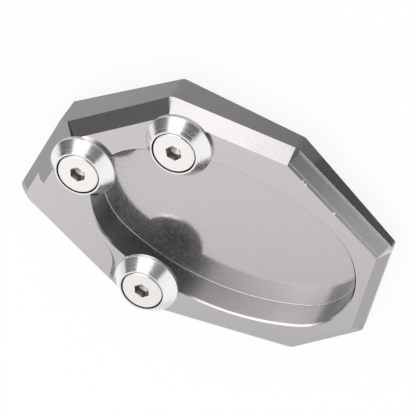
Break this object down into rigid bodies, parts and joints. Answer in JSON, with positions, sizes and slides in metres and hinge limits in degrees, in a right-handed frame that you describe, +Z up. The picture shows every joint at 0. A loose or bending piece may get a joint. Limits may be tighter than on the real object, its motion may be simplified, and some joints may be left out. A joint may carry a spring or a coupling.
{
  "type": "kickstand foot enlarger",
  "caption": "Milled aluminium plate that widens a motorcycle side stand's foot: bevelled faceted outline, oval pocket for the foot, and cone washers on countersunk screws that clamp it.",
  "frame": {"origin": "on the flat underside, straight below the centre of the pocket's mouth measured square to the top face's tilt axis", "axes": "+Z up out of the underside; +X along the pocket towards the thin toe end; +Y towards the side with the single upper screw"},
  "size_m": [0.1006, 0.0719, 0.0227],
  "materials": {
    "milled_aluminium": "milled, blasted and clear anodised to a soft satin, with bright freshly cut bevels",
    "turned_aluminium": "turned and polished bright",
    "steel_screw": "pale zinc plating, faintly brushed, with dark sockets"
  },
  "bodies": {
    "root": {"base_plate": "milled_aluminium", "washer_heel": "turned_aluminium", "washer_upper": "turned_aluminium", "washer_lower": "turned_aluminium", "screw_heel": "steel_screw", "screw_upper": "steel_screw", "screw_lower": "steel_screw"}
  },
  "joints": []
}
